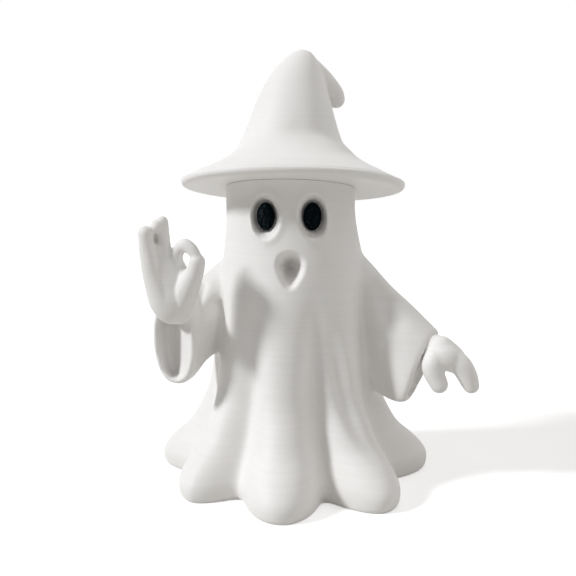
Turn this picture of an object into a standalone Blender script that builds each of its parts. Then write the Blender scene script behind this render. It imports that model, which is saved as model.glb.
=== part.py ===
"""A ghost figurine for the holidays: a draped robe, a pointed hat, two hands and two eyes.

Metres, +Z up. The ghost faces -Y and stands on z = 0, with the axis of its robe on the Z axis.
Angles round the robe are in degrees from the front, and grow toward the ghost's left hand (+X).
The right hand is raised with finger and thumb in a ring, and the left hand hangs from its sleeve.
"""

import math

import bmesh
import bpy
from mathutils import Matrix, Vector

# Fit between pieces that are glued together
CLEARANCE = 0.0003

# Robe: a bell of cloth whose folds grow toward the hem
HEAD_RADIUS = 0.0182
HEAD_SHIFT = -0.0007
HEAD_SHIFT_FOOT = 0.060
HEAD_SHIFT_TOP = 0.080
HEM_CREST_RADIUS = 0.0396
HEM_VALLEY_RADIUS = 0.0284
HEM_TUCK = 0.0011
FOLD_REFERENCE_HEIGHT = 0.045
FOLD_ROUNDNESS = 1.6

# Each row is a height, then the radius in a valley and on a crest of the folds
ROBE_PROFILE = (
    (0.0000, HEM_VALLEY_RADIUS - HEM_TUCK, HEM_CREST_RADIUS - HEM_TUCK),
    (0.0012, HEM_VALLEY_RADIUS - 0.3 * HEM_TUCK, HEM_CREST_RADIUS - 0.25 * HEM_TUCK),
    (0.0035, HEM_VALLEY_RADIUS, HEM_CREST_RADIUS),
    (0.0062, 0.0274, 0.0383),
    (0.0090, 0.0262, 0.0358),
    (0.0140, 0.0243, 0.0306),
    (0.0195, 0.0228, 0.0275),
    (0.0250, 0.0216, 0.0251),
    (0.0310, 0.0210, 0.0240),
    (0.0410, 0.0206, 0.0226),
    (0.0520, 0.0206, 0.0213),
    (0.0610, 0.0202, 0.0203),
    (0.0657, HEAD_RADIUS + 0.0014, HEAD_RADIUS + 0.0014),
    (0.0700, HEAD_RADIUS + 0.0007, HEAD_RADIUS + 0.0007),
    (0.0760, HEAD_RADIUS + 0.0001, HEAD_RADIUS + 0.0001),
    (0.0980, HEAD_RADIUS - 0.0002, HEAD_RADIUS - 0.0002),
)

# Crests and valleys in turn round the hem: angle at the floor, angle at the reference height, radius
FOLD_ROWS = (
    (-138.0, -138.0, 0.0390),
    (-122.0, -122.0, 0.0292),
    (-102.5, -100.0, 0.0402),
    (-78.0, -79.0, 0.0312),
    (-47.0, -54.0, 0.0388),
    (-30.5, -33.0, 0.0296),
    (-4.5, -12.0, 0.0414),
    (18.0, 16.5, 0.0303),
    (36.5, 40.0, 0.0418),
    (66.0, 66.0, 0.0306),
    (97.0, 94.0, 0.0405),
    (118.0, 118.0, 0.0296),
    (140.0, 140.0, 0.0392),
    (161.0, 161.0, 0.0290),
    (182.0, 182.0, 0.0398),
    (202.0, 202.0, 0.0290),
)

# Narrow pleats between the folds: angle and height at the foot, angle and height at the top,
# half width in degrees, depth
PLEAT_ROWS = (
    (19.0, 0.000, 16.5, 0.054, 5.0, 0.0017),
    (41.0, 0.008, 27.0, 0.050, 6.0, 0.0017),
    (-32.0, 0.000, -31.0, 0.048, 7.0, 0.0009),
    (68.0, 0.000, 64.0, 0.034, 7.0, 0.0010),
    (-78.0, 0.000, -79.0, 0.030, 7.0, 0.0008),
)

# Seat of the hat on the head: height of the underside of the brim on the robe's axis, and its tilt
HAT_SEAT_HEIGHT = 0.0822
HAT_TILT_BACK = 11.4
HAT_TILT_SIDE = 1.1
SPIGOT_RADIUS = 0.0085
SPIGOT_HEIGHT = 0.0050
SPIGOT_FLAT = 0.0062
SPIGOT_ROOT = 0.0020
KEY_DROP = 0.0030
KEY_BOX = (0.040, 0.020, 0.020)

# Hat, in its own tilted frame: a wide brim, a crown and a tip that flops over beside the crown
BRIM_RADIUS = 0.0315
BRIM_EDGE = 0.0013
# Each row is a height above the brim's underside and a radius
BRIM_ROWS = (
    (0.0000, BRIM_RADIUS - 0.0013),
    (0.0004, BRIM_RADIUS - 0.0005),
    (BRIM_EDGE, BRIM_RADIUS),
    (0.0023, BRIM_RADIUS - 0.0003),
    (0.0032, BRIM_RADIUS - 0.0012),
    (0.0042, 0.0289),
    (0.0056, 0.0256),
    (0.0072, 0.0217),
    (0.0090, 0.0184),
    (0.0110, 0.0161),
)
# Each row is a centre (sideways, backward, up) and a radius
CROWN_ROWS = (
    ((-0.0005, 0.0000, 0.0134), 0.0144),
    ((-0.0005, 0.0000, 0.0168), 0.0131),
    ((-0.0004, 0.0000, 0.0204), 0.0119),
    ((-0.0003, 0.0000, 0.0240), 0.0108),
    ((-0.0001, 0.0000, 0.0275), 0.0095),
    ((0.0003, 0.0000, 0.0310), 0.0081),
    ((0.0009, 0.0000, 0.0344), 0.0064),
    ((0.0015, 0.0000, 0.0372), 0.0044),
    ((0.0018, 0.0000, 0.0388), 0.0028),
    ((0.0019, 0.0000, 0.0396), 0.0013),
)
TIP_ROWS = (
    ((0.0036, 0.0016, 0.0340), 0.0043),
    ((0.0069, 0.0029, 0.0319), 0.0036),
    ((0.0096, 0.0039, 0.0293), 0.0032),
    ((0.0115, 0.0045, 0.0268), 0.0029),
    ((0.0121, 0.0046, 0.0252), 0.0025),
)

# Sleeves: each row is the top and the bottom of a section, its half width at each, and its turn
RIGHT_SLEEVE_ROWS = (
    ((-0.0100, 0.0020, 0.0690), (-0.0100, 0.0020, 0.0450), 0.0080, 0.0070, 68.0),
    ((-0.0200, -0.0010, 0.0620), (-0.0196, -0.0010, 0.0376), 0.0070, 0.0066, 56.0),
    ((-0.0277, -0.0065, 0.0553), (-0.0265, -0.0065, 0.0342), 0.0067, 0.0066, 38.0),
    ((-0.0313, -0.0118, 0.0536), (-0.0302, -0.0122, 0.0303), 0.0067, 0.0063, 26.0),
    ((-0.0325, -0.0170, 0.0534), (-0.0319, -0.0176, 0.0303), 0.0067, 0.0061, 18.0),
)
LEFT_SLEEVE_ROWS = (
    ((0.0110, 0.0020, 0.0720), (0.0130, 0.0010, 0.0350), 0.0078, 0.0062, -86.0),
    ((0.0200, -0.0025, 0.0639), (0.0208, -0.0040, 0.0268), 0.0070, 0.0052, -78.0),
    ((0.0270, -0.0060, 0.0562), (0.0260, -0.0092, 0.0243), 0.0062, 0.0044, -72.0),
    ((0.0334, -0.0090, 0.0502), (0.0292, -0.0120, 0.0236), 0.0059, 0.0043, -66.0),
    ((0.0395, -0.0110, 0.0438), (0.0317, -0.0134, 0.0243), 0.0058, 0.0045, -57.0),
)
SLEEVE_SQUARENESS = 0.86
CUFF_WALL = 0.0011
CUFF_RIM = 0.0006
# Hollow of a cuff: its depth, how far its floor is aside and the floor's share of the width
RIGHT_CUFF = (0.0056, -0.0032, 0.32)
LEFT_CUFF = (0.0065, 0.0, 0.92)

# Soft grooves between the sleeves and the robe, seen from the front: the line's points (sideways,
# up), the half width and the depth
GROOVE_ROWS = (
    (
        ((0.0188, 0.0540), (0.0194, 0.0477), (0.0207, 0.0399), (0.0233, 0.0322), (0.0263, 0.0259)),
        0.0017,
        0.0015,
    ),
    (((0.0220, 0.0568), (0.0251, 0.0518), (0.0270, 0.0468)), 0.0030, 0.0013),
    (((0.0256, 0.0395), (0.0274, 0.0294)), 0.0017, 0.0007),
    (
        ((-0.0239, 0.0554), (-0.0210, 0.0524), (-0.0194, 0.0479), (-0.0197, 0.0429), (-0.0209, 0.0387)),
        0.0018,
        0.0014,
    ),
)

# Face: each press is an angle, a height, a half width, a half height, a depth and a slope
EYE_HEIGHT = HAT_SEAT_HEIGHT - 0.0061
EYE_ANGLES = (-23.6, 20.6)
EYE_HALF_WIDTH = 0.0027
EYE_HALF_HEIGHT = 0.0041
EYE_DOME = 0.0008
EYE_SINK = 0.0021
EYE_PLUG_DEPTH = 0.0022
SOCKET_MARGIN = 0.0006
MOUTH_HEIGHT = HAT_SEAT_HEIGHT - 0.0205
MOUTH_ANGLE = -1.5
MOUTH_HALF_WIDTH = 0.0027
MOUTH_HALF_HEIGHT = 0.0038
MOUTH_DEPTH = 0.0055

# Hands: each row is a point and a radius, and each wrist is a plug in a bore of its cuff
WRIST_PLUG_DEPTH = 0.0045
WRIST_SWELL = 1.05
# Each wrist is a place in its cuff, aside of and above the centre, and a radius
RIGHT_WRIST = (-0.0008, 0.0068, 0.0027)
LEFT_WRIST = (0.0, 0.0050, 0.0027)

RIGHT_PALM = (
    ((-0.0296, -0.0221, 0.0494), 0.0032),
    ((-0.0306, -0.0226, 0.0515), 0.0046),
    ((-0.0315, -0.0226, 0.0540), 0.0055),
    ((-0.0322, -0.0220, 0.0570), 0.0059),
    ((-0.0334, -0.0220, 0.0604), 0.0049),
)
RIGHT_LITTLE = (
    ((-0.0346, -0.0222, 0.0555), 0.0030),
    ((-0.0361, -0.0222, 0.0595), 0.0029),
    ((-0.0369, -0.0223, 0.0622), 0.0024),
    ((-0.03755, -0.0224, 0.0655), 0.0020),
    ((-0.03795, -0.0226, 0.0688), 0.0019),
    ((-0.0378, -0.0229, 0.0714), 0.00165),
)
RIGHT_RING = (
    ((-0.0346, -0.0209, 0.0600), 0.0022),
    ((-0.0349, -0.0202, 0.0660), 0.0016),
    ((-0.0351, -0.0210, 0.0712), 0.00155),
    ((-0.0352, -0.0224, 0.0734), 0.0016),
    ((-0.0353, -0.0242, 0.0722), 0.00155),
    ((-0.0353, -0.0249, 0.0692), 0.00145),
)
RIGHT_MIDDLE = (
    ((-0.0330, -0.0224, 0.0585), 0.0028),
    ((-0.0331, -0.0223, 0.0618), 0.0021),
    ((-0.03325, -0.0221, 0.0652), 0.0015),
    ((-0.0335, -0.0221, 0.0690), 0.00155),
    ((-0.0337, -0.0223, 0.0720), 0.0016),
    ((-0.0337, -0.0228, 0.0746), 0.00145),
)
RIGHT_INDEX = (
    ((-0.0312, -0.0206, 0.0600), 0.0022),
    ((-0.0306, -0.0213, 0.0646), 0.00185),
    ((-0.0296, -0.0226, 0.0676), 0.00175),
    ((-0.0278, -0.0240, 0.0687), 0.0019),
    ((-0.0259, -0.0250, 0.0678), 0.0018),
    ((-0.0246, -0.0255, 0.0662), 0.0016),
)
RIGHT_THUMB = (
    ((-0.0290, -0.0224, 0.0515), 0.0030),
    ((-0.0274, -0.0228, 0.0556), 0.0030),
    ((-0.0261, -0.0238, 0.0590), 0.0026),
    ((-0.0250, -0.0248, 0.0622), 0.00215),
    ((-0.0246, -0.0253, 0.0646), 0.00195),
)
RIGHT_WEB = (
    ((-0.0300, -0.0222, 0.0540), 0.0038),
    ((-0.0283, -0.0227, 0.0582), 0.0032),
    ((-0.0270, -0.0234, 0.0606), 0.0024),
)
LEFT_PALM = (
    ((0.0394, -0.0124, 0.0388), 0.0032),
    ((0.0409, -0.0127, 0.0382), 0.0042),
    ((0.0426, -0.0128, 0.0372), 0.0050),
    ((0.0446, -0.0124, 0.0359), 0.0047),
)
LEFT_THENAR = (
    ((0.0397, -0.0136, 0.0380), 0.0031),
    ((0.0406, -0.0140, 0.0377), 0.0038),
    ((0.0424, -0.0142, 0.0369), 0.0038),
    ((0.0446, -0.0142, 0.0357), 0.0032),
)
LEFT_INDEX = (
    ((0.0436, -0.0142, 0.0366), 0.0032),
    ((0.0462, -0.0147, 0.0347), 0.0030),
    ((0.0481, -0.0148, 0.0317), 0.0027),
    ((0.0491, -0.0147, 0.0292), 0.0023),
)
LEFT_THUMB = (
    ((0.0392, -0.0145, 0.0372), 0.0032),
    ((0.0386, -0.0150, 0.0349), 0.0030),
    ((0.0394, -0.0153, 0.0320), 0.0027),
    ((0.0409, -0.0156, 0.0290), 0.0023),
)
# The left hand's other fingers lie behind the first: shift from it and thickness beside it
LEFT_FINGER_SHIFTS = (
    ((-0.0002, 0.0026, 0.0001), 0.98),
    ((-0.0006, 0.0050, 0.0008), 0.93),
    ((-0.0004, 0.0069, 0.0014), 0.82),
)
PALM_FLATNESS = 0.56

# Trimming: how much comes off a moulded underside, and a box that spans the object
FLOOR_TRIM = 0.0004
BRIM_TRIM = 0.0002
TRIM_BOX = (0.120, 0.120, 0.030)

# Fineness of the moulded surfaces, and the least angle of an edge that stays sharp
SHARP_ANGLE = 40.0
ROBE_VOXEL = 0.0006
HAT_VOXEL = 0.0007
HAND_VOXEL = 0.00035
ROBE_SMOOTHING = 12
HAT_SMOOTHING = 4
HAND_SMOOTHING = 14
ROBE_TRIANGLES = 6600
HAT_TRIANGLES = 2300
HAND_TRIANGLES = 1800

WHITE = (0.84, 0.84, 0.83, 1.0)
BLACK = (0.006, 0.008, 0.010, 1.0)


def clear_scene():
    """Removes every object that the file starts with."""
    for obj in list(bpy.data.objects):
        bpy.data.objects.remove(obj, do_unlink=True)


def new_collection(name):
    """Returns a new collection linked to the scene."""
    collection = bpy.data.collections.new(name)
    bpy.context.scene.collection.children.link(collection)
    return collection


def make_material(name, colour, roughness):
    """Returns a Principled material of one colour."""
    material = bpy.data.materials.new(name)
    material.use_nodes = True
    shader = material.node_tree.nodes["Principled BSDF"]
    shader.inputs["Base Color"].default_value = colour
    shader.inputs["Roughness"].default_value = roughness
    shader.inputs["Metallic"].default_value = 0.0
    return material


def smooth_value(rows, position, column=1):
    """Reads a column of rows sorted by their first value, along a curve that never overshoots."""
    xs = [row[0] for row in rows]
    ys = [row[column] for row in rows]
    if position <= xs[0]:
        return ys[0]
    if position >= xs[-1]:
        return ys[-1]
    slopes = [(ys[i + 1] - ys[i]) / (xs[i + 1] - xs[i]) for i in range(len(xs) - 1)]
    tangents = [slopes[0]]
    for before, after in zip(slopes, slopes[1:]):
        same_way = before * after > 0.0
        tangents.append(2.0 * before * after / (before + after) if same_way else 0.0)
    tangents.append(slopes[-1])
    i = max(k for k in range(len(xs) - 1) if xs[k] <= position)
    width = xs[i + 1] - xs[i]
    t = (position - xs[i]) / width
    rise = ys[i] * (2 * t**3 - 3 * t**2 + 1) + ys[i + 1] * (3 * t**2 - 2 * t**3)
    return rise + width * (tangents[i] * (t**3 - 2 * t**2 + t) + tangents[i + 1] * (t**3 - t**2))


def ramp(value):
    """Goes smoothly from 0 to 1 as the value does."""
    value = min(1.0, max(0.0, value))
    return value * value * (3.0 - 2.0 * value)


def angle_between(first, second):
    """Returns the smallest turn in degrees from the second angle to the first."""
    return (first - second + 180.0) % 360.0 - 180.0


def fold_weight(angle, height):
    """Returns 0 in a valley of mean depth and 1 on a crest of mean height."""
    lean = min(1.0, height / FOLD_REFERENCE_HEIGHT)
    knots = [(foot + lean * (top - foot), radius) for foot, top, radius in FOLD_ROWS]
    count = len(knots)
    for i in range(count):
        start, start_radius = knots[i]
        end, end_radius = knots[(i + 1) % count]
        span = (end - start) % 360.0
        along = (angle - start) % 360.0
        if along > span:
            continue
        valley_first = i % 2 == 1
        t = along / span if valley_first else 1.0 - along / span
        rise = math.sin(0.5 * math.pi * t) ** FOLD_ROUNDNESS
        valley, crest = (start_radius, end_radius) if valley_first else (end_radius, start_radius)
        radius = valley + (crest - valley) * rise
        return (radius - HEM_VALLEY_RADIUS) / (HEM_CREST_RADIUS - HEM_VALLEY_RADIUS)
    return 0.0


def pleat_depth(angle, height):
    """Returns how deep the narrow pleats cut in at this place."""
    depth = 0.0
    for foot_angle, foot, top_angle, top, half_width, deepest in PLEAT_ROWS:
        along = (height - foot) / (top - foot)
        if not 0.0 <= along <= 1.0:
            continue
        centre = foot_angle + along * (top_angle - foot_angle)
        aside = angle_between(angle, centre) / half_width
        fade = ramp((1.0 - along) / 0.45)
        if foot > 0.0:
            fade *= ramp(along / 0.3)
        depth += deepest * fade * math.exp(-aside * aside)
    return depth


def cloth_radius(angle, height):
    """Returns the robe's radius at an angle and a height, before the face is pressed in."""
    valley = smooth_value(ROBE_PROFILE, height, 1)
    crest = smooth_value(ROBE_PROFILE, height, 2)
    return valley + (crest - valley) * fold_weight(angle, height) - pleat_depth(angle, height)


def press(angle, height, centre, half_width, half_height, depth, softness):
    """Returns how deep a soft-edged oval is pressed in at this place."""
    across = math.radians(angle_between(angle, centre[0])) * HEAD_RADIUS / half_width
    along = (height - centre[1]) / half_height
    distance = math.hypot(across, along)
    return depth * ramp((1.0 + softness - distance) / (2.0 * softness))


def face_depth(angle, height):
    """Returns how deep the mouth and the eye sockets are at this place."""
    depth = 0.0
    for eye_angle in EYE_ANGLES:
        half_width = EYE_HALF_WIDTH + SOCKET_MARGIN
        half_height = EYE_HALF_HEIGHT + SOCKET_MARGIN
        depth += press(angle, height, (eye_angle, EYE_HEIGHT), half_width, half_height, EYE_SINK, 0.32)
    narrowing = 1.0 + 0.22 * (height - MOUTH_HEIGHT) / MOUTH_HALF_HEIGHT
    half_width = MOUTH_HALF_WIDTH * max(0.5, narrowing)
    mouth = (MOUTH_ANGLE, MOUTH_HEIGHT)
    return depth + press(angle, height, mouth, half_width, MOUTH_HALF_HEIGHT, MOUTH_DEPTH, 0.36)


def lean(height):
    """Returns how far the robe's axis leans aside at a height."""
    return HEAD_SHIFT * ramp((height - HEAD_SHIFT_FOOT) / (HEAD_SHIFT_TOP - HEAD_SHIFT_FOOT))


def polar_point(angle, radius, height):
    """Returns the point at an angle round the robe's leaning axis, a radius and a height."""
    turn = math.radians(angle)
    return Vector((lean(height) + radius * math.sin(turn), -radius * math.cos(turn), height))


def press_face(obj):
    """Presses the mouth and the eye sockets into the front of a head."""
    for vertex in obj.data.vertices:
        offset = Vector((vertex.co.x - lean(vertex.co.z), vertex.co.y))
        if offset.y > 0.0:
            continue
        depth = face_depth(math.degrees(math.atan2(offset.x, -offset.y)), vertex.co.z)
        vertex.co -= (offset.normalized() * depth).to_3d()


def distance_to_line(place, line):
    """Returns how far a place is from a line of points."""
    distances = []
    for start, end in zip(line, line[1:]):
        start = Vector(start)
        way = Vector(end) - start
        along = min(1.0, max(0.0, (place - start).dot(way) / way.length_squared))
        distances.append((place - start - way * along).length)
    return min(distances)


def press_grooves(obj):
    """Presses the soft grooves beside the sleeves into what faces the front."""
    fronts = [max(0.0, min(1.0, -2.0 * vertex.normal.y)) for vertex in obj.data.vertices]
    for vertex, front in zip(obj.data.vertices, fronts):
        if front == 0.0:
            continue
        place = Vector((vertex.co.x, vertex.co.z))
        for line, half_width, depth in GROOVE_ROWS:
            distance = distance_to_line(place, line) / half_width
            vertex.co.y += depth * front * math.exp(-distance * distance)


def shade_round(obj):
    """Shades an object smooth, but for its sharp edges."""
    obj.data.shade_smooth()
    obj.data.set_sharp_from_angle(angle=math.radians(SHARP_ANGLE))


def finish_mesh(name, bm, collection):
    """Turns a bmesh into an object with its faces pointing outward."""
    bmesh.ops.recalc_face_normals(bm, faces=bm.faces)
    mesh = bpy.data.meshes.new(name)
    bm.to_mesh(mesh)
    bm.free()
    obj = bpy.data.objects.new(name, mesh)
    collection.objects.link(obj)
    return obj


def loft(name, rings, collection):
    """Joins rings of points, each with the same count, into a closed body."""
    bm = bmesh.new()
    loops = [[bm.verts.new(point) for point in ring] for ring in rings]
    count = len(rings[0])
    for lower, upper in zip(loops, loops[1:]):
        for i in range(count):
            j = (i + 1) % count
            bm.faces.new((lower[i], lower[j], upper[j], upper[i]))
    for loop in (loops[0], loops[-1]):
        middle = bm.verts.new(sum((vert.co for vert in loop), Vector()) / count)
        for i in range(count):
            bm.faces.new((loop[i], loop[(i + 1) % count], middle))
    return finish_mesh(name, bm, collection)


def curve_points(points, steps):
    """Returns points along a smooth curve through the given vectors, which may have any size."""
    ends = [points[0] * 2 - points[1], *points, points[-1] * 2 - points[-2]]
    result = []
    for i in range(1, len(ends) - 2):
        before, start, end, after = ends[i - 1 : i + 3]
        for k in range(steps):
            t = k / steps
            bend = start * 2 + (end - before) * t
            bend += (before * 2 - start * 5 + end * 4 - after) * t**2
            bend += (start * 3 - before - end * 3 + after) * t**3
            result.append(bend / 2)
    result.append(points[-1].copy())
    return result


def tapered_tube(name, points, radii, collection, flat=1.0, across=None, sides=28, steps=6):
    """Makes a round-ended tube through points, with its own radius at each.

    A flat value under 1 makes it thinner at right angles to the across direction.
    """
    path = curve_points([Vector((*point, 0.0)) for point in points], steps)
    path = [point.to_3d() for point in path]
    sizes = [size.x for size in curve_points([Vector((radius, 0.0)) for radius in radii], steps)]
    count = len(path)
    tangents = [(path[min(i + 1, count - 1)] - path[max(i - 1, 0)]).normalized() for i in range(count)]
    side = Vector(across) if across else tangents[0].orthogonal()
    stations = []
    cap_steps = 5
    for k in range(cap_steps):
        turn = 0.5 * math.pi * (k + 0.6) / cap_steps
        reach = sizes[0] * flat * math.cos(turn)
        stations.append((path[0] - tangents[0] * reach, sizes[0] * math.sin(turn), tangents[0]))
    stations += list(zip(path, sizes, tangents))
    for k in reversed(range(cap_steps)):
        turn = 0.5 * math.pi * (k + 0.6) / cap_steps
        reach = sizes[-1] * flat * math.cos(turn)
        stations.append((path[-1] + tangents[-1] * reach, sizes[-1] * math.sin(turn), tangents[-1]))
    rings = []
    for centre, radius, tangent in stations:
        side = (side - tangent * side.dot(tangent)).normalized()
        thick = tangent.cross(side) * (radius * flat)
        wide = side * radius
        turns = [2.0 * math.pi * k / sides for k in range(sides)]
        rings.append([centre + wide * math.cos(turn) + thick * math.sin(turn) for turn in turns])
    return loft(name, rings, collection)


def move_to_mesh(obj, modifiers):
    """Adds modifiers by type and settings, and makes their result the object's own mesh."""
    for kind, settings in modifiers:
        modifier = obj.modifiers.new(kind.title(), kind)
        for key, value in settings.items():
            setattr(modifier, key, value)
    graph = bpy.context.evaluated_depsgraph_get()
    mesh = bpy.data.meshes.new_from_object(obj.evaluated_get(graph), depsgraph=graph)
    obj.modifiers.clear()
    old_mesh = obj.data
    obj.data = mesh
    bpy.data.meshes.remove(old_mesh)
    mesh.name = obj.name


def join_shapes(name, shapes, collection):
    """Gathers the meshes of several overlapping shapes in one new object and removes the shapes."""
    bm = bmesh.new()
    for shape in shapes:
        bm.from_mesh(shape.data)
        bpy.data.objects.remove(shape, do_unlink=True)
    return finish_mesh(name, bm, collection)


def melt(obj, voxel, smoothing):
    """Fuses overlapping shapes into one skin and softens its creases."""
    move_to_mesh(obj, [
        ("REMESH", {"mode": "VOXEL", "voxel_size": voxel, "adaptivity": 0.0}),
        ("SMOOTH", {"factor": 0.5, "iterations": smoothing}),
    ])


def thin_out(obj, triangles):
    """Splits the faces of a skin into triangles and keeps about as many as asked for."""
    bm = bmesh.new()
    bm.from_mesh(obj.data)
    bmesh.ops.triangulate(bm, faces=bm.faces)
    faces = len(bm.faces)
    bm.to_mesh(obj.data)
    bm.free()
    move_to_mesh(obj, [("DECIMATE", {"ratio": min(1.0, triangles / faces)})])


def boolean(obj, tool, operation):
    """Joins or cuts the object with a closed tool, and removes the tool."""
    settings = {"operation": operation, "solver": "EXACT", "object": tool}
    move_to_mesh(obj, [("BOOLEAN", settings)])
    bpy.data.objects.remove(tool, do_unlink=True)


def cylinder(name, start, end, radius, collection, sides=32):
    """Makes a closed cylinder between two points."""
    bm = bmesh.new()
    axis = end - start
    turn = axis.to_track_quat("Z", "Y").to_matrix().to_4x4()
    place = Matrix.Translation((start + end) / 2) @ turn
    bmesh.ops.create_cone(
        bm, cap_ends=True, segments=sides, radius1=radius, radius2=radius, depth=axis.length, matrix=place
    )
    return finish_mesh(name, bm, collection)


def hat_frame(raised=0.0):
    """Returns the matrix of the hat's own frame, whose origin is on the seat."""
    lean = Matrix.Rotation(math.radians(-HAT_TILT_BACK), 4, "X")
    roll = Matrix.Rotation(math.radians(HAT_TILT_SIDE), 4, "Y")
    return Matrix.Translation((0.0, 0.0, HAT_SEAT_HEIGHT)) @ lean @ roll @ Matrix.Translation((0, 0, raised))


def face_frame(angle, height):
    """Returns a frame on the face: X along the cloth, Y into the robe and Z up."""
    point = polar_point(angle, cloth_radius(angle, height), height)
    above = polar_point(angle, cloth_radius(angle, height + 0.002), height + 0.002) - point
    into = Vector((-math.sin(math.radians(angle)), math.cos(math.radians(angle)), 0.0))
    up = above.normalized()
    across = into.cross(up).normalized()
    into = up.cross(across).normalized()
    turned = Matrix((across, into, up)).transposed().to_4x4()
    return Matrix.Translation(point) @ turned


def section_axes(row):
    """Returns a sleeve section's centre, its upward half length and its direction across."""
    top, bottom = Vector(row[0]), Vector(row[1])
    turn = math.radians(row[4])
    return (top + bottom) / 2, (top - bottom) / 2, Vector((math.cos(turn), -math.sin(turn), 0.0))


def section_ring(row, inset=0.0, shift=Vector(), narrow=1.0, sides=48):
    """Returns the egg-shaped outline of a sleeve section, drawn in by an inset."""
    centre, up, across = section_axes(row)
    length = up.length - inset
    ring = []
    for k in range(sides):
        turn = 2.0 * math.pi * k / sides
        high = math.copysign(abs(math.cos(turn)) ** SLEEVE_SQUARENESS, math.cos(turn))
        wide = math.copysign(abs(math.sin(turn)) ** SLEEVE_SQUARENESS, math.sin(turn))
        half_width = 0.5 * (row[2] + row[3]) + 0.5 * (row[2] - row[3]) * high - inset
        point = centre + shift + up.normalized() * (length * high)
        ring.append(point + across * (half_width * narrow * wide))
    return ring


def cuff_inward(rows):
    """Returns the direction from the cuff into the sleeve, square to the cuff's opening."""
    centre, up, across = section_axes(rows[-1])
    inward = up.cross(across).normalized()
    before = section_axes(rows[-2])[0]
    return inward if inward.dot(before - centre) > 0.0 else -inward


def sleeve_shape(name, rows, collection):
    """Makes a sleeve as a solid loft from inside the robe to its cuff."""
    outlines = [section_ring(row) for row in rows]
    tracks = [curve_points([outline[k] for outline in outlines], 6) for k in range(len(outlines[0]))]
    rings = [[track[i] for track in tracks] for i in range(len(tracks[0]))]
    inward = cuff_inward(rows)
    for step in range(1, 5):
        turn = 0.5 * math.pi * step / 4
        shift = inward * (-CUFF_RIM * math.sin(turn))
        rings.append(section_ring(rows[-1], CUFF_RIM * (1.0 - math.cos(turn)), shift))
    return loft(name, rings, collection)


def cuff_hollow(name, rows, cuff, collection):
    """Makes the tapering hollow that opens at a cuff."""
    row = rows[-1]
    depth, floor_shift, floor_share = cuff
    inward = cuff_inward(rows)
    across = section_axes(row)[2]
    rings = [section_ring(row, CUFF_WALL, inward * -0.002)]
    for step in range(8):
        t = step / 7
        ease = t**1.3
        shift = inward * (depth * t) + across * (floor_shift * ease)
        rings.append(section_ring(row, CUFF_WALL, shift, 1.0 + (floor_share - 1.0) * ease))
    return loft(name, rings, collection)


def cuff_point(rows, place, depth):
    """Returns a point in a cuff: aside and above its centre, and some way into the sleeve."""
    centre, up, across = section_axes(rows[-1])
    return centre + across * place[0] + up.normalized() * place[1] + cuff_inward(rows) * depth


def robe_body(name, collection):
    """Makes the folded bell of the robe up to the crown of the head."""
    heights = [row[0] for row in ROBE_PROFILE]
    levels = []
    for low, high in zip(heights, heights[1:]):
        count = max(2, round((high - low) / 0.0008))
        levels += [low + (high - low) * k / count for k in range(count)]
    levels.append(heights[-1])
    sides = 240
    rings = []
    for height in levels:
        angles = [360.0 * k / sides for k in range(sides)]
        rings.append([polar_point(angle, cloth_radius(angle, height), height) for angle in angles])
    return loft(name, rings, collection)


def build_robe(collection, cutters, material):
    """Makes the robe with its head, its two sleeves, its face and its joints."""
    shapes = [
        robe_body("body", cutters),
        sleeve_shape("right_sleeve", RIGHT_SLEEVE_ROWS, cutters),
        sleeve_shape("left_sleeve", LEFT_SLEEVE_ROWS, cutters),
    ]
    robe = join_shapes("robe", shapes, collection)
    melt(robe, ROBE_VOXEL, ROBE_SMOOTHING)
    press_face(robe)
    press_grooves(robe)
    thin_out(robe, ROBE_TRIANGLES)
    cut_floor(robe, cutters)
    cut_hat_seat(robe, cutters)
    arms = (RIGHT_SLEEVE_ROWS, RIGHT_CUFF, RIGHT_WRIST), (LEFT_SLEEVE_ROWS, LEFT_CUFF, LEFT_WRIST)
    for rows, cuff, wrist in arms:
        boolean(robe, cuff_hollow("hollow", rows, cuff, cutters), "DIFFERENCE")
        boolean(robe, wrist_plug("bore", rows, cuff, wrist, CLEARANCE, cutters), "DIFFERENCE")
    for angle in EYE_ANGLES:
        boolean(robe, eye_plug("eye_hole", angle, CLEARANCE, cutters), "DIFFERENCE")
    robe.data.materials.append(material)
    return robe


def wrist_plug(name, rows, cuff, wrist, growth, collection):
    """Makes the plug of a wrist, or with a growth the bore that takes it."""
    start = cuff_point(rows, wrist, -0.003 if growth else 0.0)
    end = cuff_point(rows, wrist, cuff[0] + WRIST_PLUG_DEPTH + growth)
    return cylinder(name, start, end, wrist[2] + growth, collection, 24)


def slab(name, place, size, collection):
    """Makes a box of a size whose bottom face is centred on the frame's origin."""
    bm = bmesh.new()
    lift = Matrix.Translation((0.0, 0.0, size[2] / 2))
    bmesh.ops.create_cube(bm, size=1.0, matrix=place @ lift @ Matrix.Diagonal((*size, 1.0)))
    return finish_mesh(name, bm, collection)


def cut_floor(robe, cutters):
    """Cuts the rounded bottom of the hem flat, and sets the robe down on it."""
    place = Matrix.Translation((0.0, 0.0, FLOOR_TRIM - TRIM_BOX[2]))
    boolean(robe, slab("floor", place, TRIM_BOX, cutters), "DIFFERENCE")
    for vertex in robe.data.vertices:
        vertex.co.z -= FLOOR_TRIM


def cut_hat_seat(robe, cutters):
    """Cuts the head off level with the tilted brim, and stands the keyed spigot on it."""
    seat = hat_frame()
    boolean(robe, slab("seat", seat, TRIM_BOX, cutters), "DIFFERENCE")
    boolean(robe, keyed_cylinder("spigot", 0.0, cutters), "UNION")


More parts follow.
